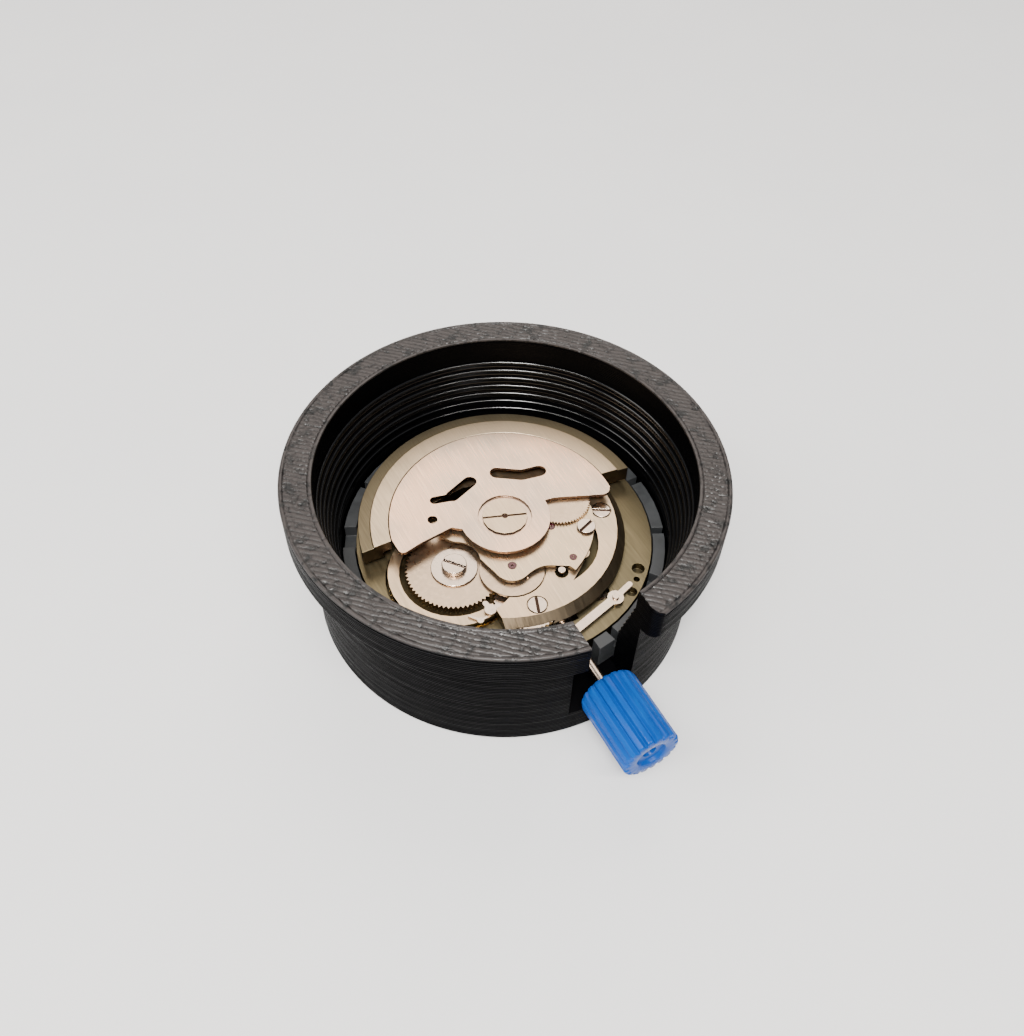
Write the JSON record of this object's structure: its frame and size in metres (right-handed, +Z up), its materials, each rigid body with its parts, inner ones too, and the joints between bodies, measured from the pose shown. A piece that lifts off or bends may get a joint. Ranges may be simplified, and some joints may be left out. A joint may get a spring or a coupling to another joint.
{
  "type": "watch movement holder",
  "caption": "Round stepped cup with a side slot that holds an automatic watch movement face down, its stem and fluted winding knob fitted through the slot.",
  "frame": {"origin": "centre of the flat foot of the cup, on the surface it stands on", "axes": "+Z up out of the cup's mouth, -Y outwards along the winding stem through the slot"},
  "size_m": [0.0386, 0.0442, 0.0157],
  "materials": {
    "printed_black": "printed, satin",
    "ring_grey": "moulded",
    "nickel": "brushed champagne nickel",
    "rotor_nickel": "finely brushed",
    "weight_tan": "grained",
    "steel": "polished",
    "brass": "turned",
    "ruby": "polished",
    "knob_blue": "moulded, semi gloss"
  },
  "bodies": {
    "holder": {"holder_body": "printed_black"},
    "movement": {"casing_ring": "ring_grey", "mainplate": "nickel", "dial_side_cover": "nickel", "train_bridge": "nickel", "automatic_bridge": "nickel", "balance_cock": "nickel", "pallet_bridge": "nickel", "hairspring": "steel", "click_spring": "steel", "rotor_bearing_core": "steel", "rotor_screw": "nickel", "train_bridge_screw_front": "steel", "train_bridge_screw_side": "steel", "automatic_bridge_screw": "steel", "balance_cock_screw": "steel", "jewel_second_reduction": "ruby", "jewel_pawl_guide": "ruby", "jewel_rear": "ruby", "jewel_balance": "ruby", "guide_pin": "steel"},
    "rotor": {"rotor_plate": "rotor_nickel", "rotor_weight": "weight_tan", "rotor_gear": "steel"},
    "first_reduction": {"first_reduction_wheel": "nickel"},
    "second_reduction": {"second_reduction_wheel": "nickel"},
    "pawl": {"pawl_lever": "steel"},
    "winding_pinion": {"winding_pinion": "steel"},
    "stem": {"winding_stem": "steel", "winding_knob": "knob_blue"},
    "clutch": {"sliding_pinion": "steel"},
    "setting_lever": {"setting_lever": "steel"},
    "yoke": {"yoke": "steel"},
    "crown_wheel": {"crown_wheel": "steel"},
    "ratchet": {"ratchet_wheel": "steel", "ratchet_washer": "steel", "ratchet_screw": "steel", "barrel_arbor": "steel"},
    "click": {"click": "steel"},
    "barrel": {"barrel_drum": "brass", "barrel_lid": "brass", "mainspring": "steel"},
    "centre_wheel": {"centre_wheel": "brass", "cannon_pinion": "steel"},
    "third_wheel": {"third_wheel": "brass"},
    "fourth_wheel": {"fourth_wheel": "brass"},
    "escape_wheel": {"escape_wheel": "steel"},
    "minute_wheel": {"minute_wheel": "brass"},
    "hour_wheel": {"hour_wheel": "brass"},
    "setting_wheel": {"setting_wheel": "steel"},
    "pallet_fork": {"pallet_fork": "steel"},
    "balance": {"balance_wheel": "brass"}
  },
  "joints": [
    {"name": "movement_lift", "type": "slide", "parent": "holder", "child": "movement", "axis": [0, 0, 1], "range_m": [0, 0.013]},
    {"name": "rotor_spin", "type": "hinge", "parent": "movement", "child": "rotor", "pos_m": [0, 0, 0.0088], "axis": [0, 0, 1], "continuous": true},
    {"name": "first_reduction_turn", "type": "hinge", "parent": "movement", "child": "first_reduction", "pos_m": [0.00554, -0.00029, 0.0086], "axis": [0, 0, 1], "continuous": true},
    {"name": "pawl_stroke", "type": "slide", "parent": "movement", "child": "pawl", "axis": [-0.8522, -0.5232, 0], "range_m": [-0.0001, 0.0001]},
    {"name": "crown_turn", "type": "hinge", "parent": "movement", "child": "winding_pinion", "pos_m": [0, -0.01, 0.0059], "axis": [0, -1, 0], "continuous": true},
    {"name": "stem_pull", "type": "slide", "parent": "winding_pinion", "child": "stem", "axis": [0, -1, 0], "range_m": [0, 0.001]},
    {"name": "clutch_slide", "type": "slide", "parent": "winding_pinion", "child": "clutch", "axis": [0, -1, 0], "range_m": [-0.0005, 0]},
    {"name": "setting_lever_turn", "type": "hinge", "parent": "movement", "child": "setting_lever", "pos_m": [0.00516, -0.01106, 0.0068], "axis": [0, 0, 1], "range_deg": [0, 11.11]},
    {"name": "yoke_turn", "type": "hinge", "parent": "movement", "child": "yoke", "pos_m": [0.00435, -0.00967, 0.0059], "axis": [0, 0, 1], "range_deg": [-8.22, 0]},
    {"name": "crown_wheel_turn", "type": "hinge", "parent": "movement", "child": "crown_wheel", "pos_m": [-0.00196, -0.00804, 0.007], "axis": [0, 0, 1], "continuous": true},
    {"name": "ratchet_turn", "type": "hinge", "parent": "movement", "child": "ratchet", "pos_m": [-0.00622, -0.00218, 0.0073], "axis": [0, 0, 1], "continuous": true},
    {"name": "second_reduction_turn", "type": "hinge", "parent": "movement", "child": "second_reduction", "pos_m": [-0.00184, -0.00482, 0.0077], "axis": [0, 0, 1], "continuous": true},
    {"name": "click_swing", "type": "hinge", "parent": "movement", "child": "click", "pos_m": [-0.00538, -0.00752, 0.0074], "axis": [0, 0, 1], "range_deg": [-8, 0], "stiffness_Nm_per_rad": 0.000000004},
    {"name": "fourth_wheel_turn", "type": "hinge", "parent": "movement", "child": "fourth_wheel", "pos_m": [0.00383, 0.00189, 0.0056], "axis": [0, 0, 1], "continuous": true},
    {"name": "third_wheel_turn", "type": "hinge", "parent": "movement", "child": "third_wheel", "pos_m": [0.00412, -0.0015, 0.0056], "axis": [0, 0, 1], "continuous": true},
    {"name": "centre_wheel_turn", "type": "hinge", "parent": "movement", "child": "centre_wheel", "pos_m": [0, 0, 0.0051], "axis": [0, 0, 1], "continuous": true},
    {"name": "barrel_turn", "type": "hinge", "parent": "movement", "child": "barrel", "pos_m": [-0.00622, -0.00218, 0.0056], "axis": [0, 0, 1], "continuous": true},
    {"name": "escape_wheel_turn", "type": "hinge", "parent": "movement", "child": "escape_wheel", "pos_m": [0.00246, 0.00425, 0.0056], "axis": [0, 0, 1], "continuous": true},
    {"name": "minute_wheel_turn", "type": "hinge", "parent": "movement", "child": "minute_wheel", "pos_m": [0, -0.0024, 0.0044], "axis": [0, 0, 1], "continuous": true},
    {"name": "hour_wheel_turn", "type": "hinge", "parent": "movement", "child": "hour_wheel", "pos_m": [0, 0, 0.0042], "axis": [0, 0, 1], "continuous": true},
    {"name": "setting_wheel_turn", "type": "hinge", "parent": "movement", "child": "setting_wheel", "pos_m": [0, -0.00564, 0.0045], "axis": [0, 0, 1], "continuous": true},
    {"name": "pallet_swing", "type": "hinge", "parent": "movement", "child": "pallet_fork", "pos_m": [0.00084, 0.00602, 0.0056], "axis": [0, 0, 1], "range_deg": [-6, 6]},
    {"name": "balance_swing", "type": "hinge", "parent": "movement", "child": "balance", "pos_m": [-0.00066, 0.00766, 0.0061], "axis": [0, 0, 1], "range_deg": [-270, 270], "stiffness_Nm_per_rad": 0.000000098}
  ],
  "couplings": [
    {"joint": "first_reduction_turn", "follows": "rotor_spin", "ratio": -1},
    {"joint": "clutch_slide", "follows": "stem_pull", "ratio": -0.5},
    {"joint": "setting_lever_turn", "follows": "stem_pull", "rad_per_m": 193.79},
    {"joint": "yoke_turn", "follows": "stem_pull", "rad_per_m": -143.33},
    {"joint": "crown_wheel_turn", "follows": "crown_turn", "ratio": 0.31818},
    {"joint": "ratchet_turn", "follows": "crown_turn", "ratio": -0.21875},
    {"joint": "second_reduction_turn", "follows": "crown_turn", "ratio": 1.1667},
    {"joint": "third_wheel_turn", "follows": "fourth_wheel_turn", "ratio": -0.13333},
    {"joint": "centre_wheel_turn", "follows": "fourth_wheel_turn", "ratio": 0.016667},
    {"joint": "barrel_turn", "follows": "fourth_wheel_turn", "ratio": -0.0023148},
    {"joint": "escape_wheel_turn", "follows": "fourth_wheel_turn", "ratio": -10},
    {"joint": "minute_wheel_turn", "follows": "fourth_wheel_turn", "ratio": -0.0055556},
    {"joint": "hour_wheel_turn", "follows": "fourth_wheel_turn", "ratio": 0.0013889},
    {"joint": "setting_wheel_turn", "follows": "fourth_wheel_turn", "ratio": 0.0069444}
  ]
}
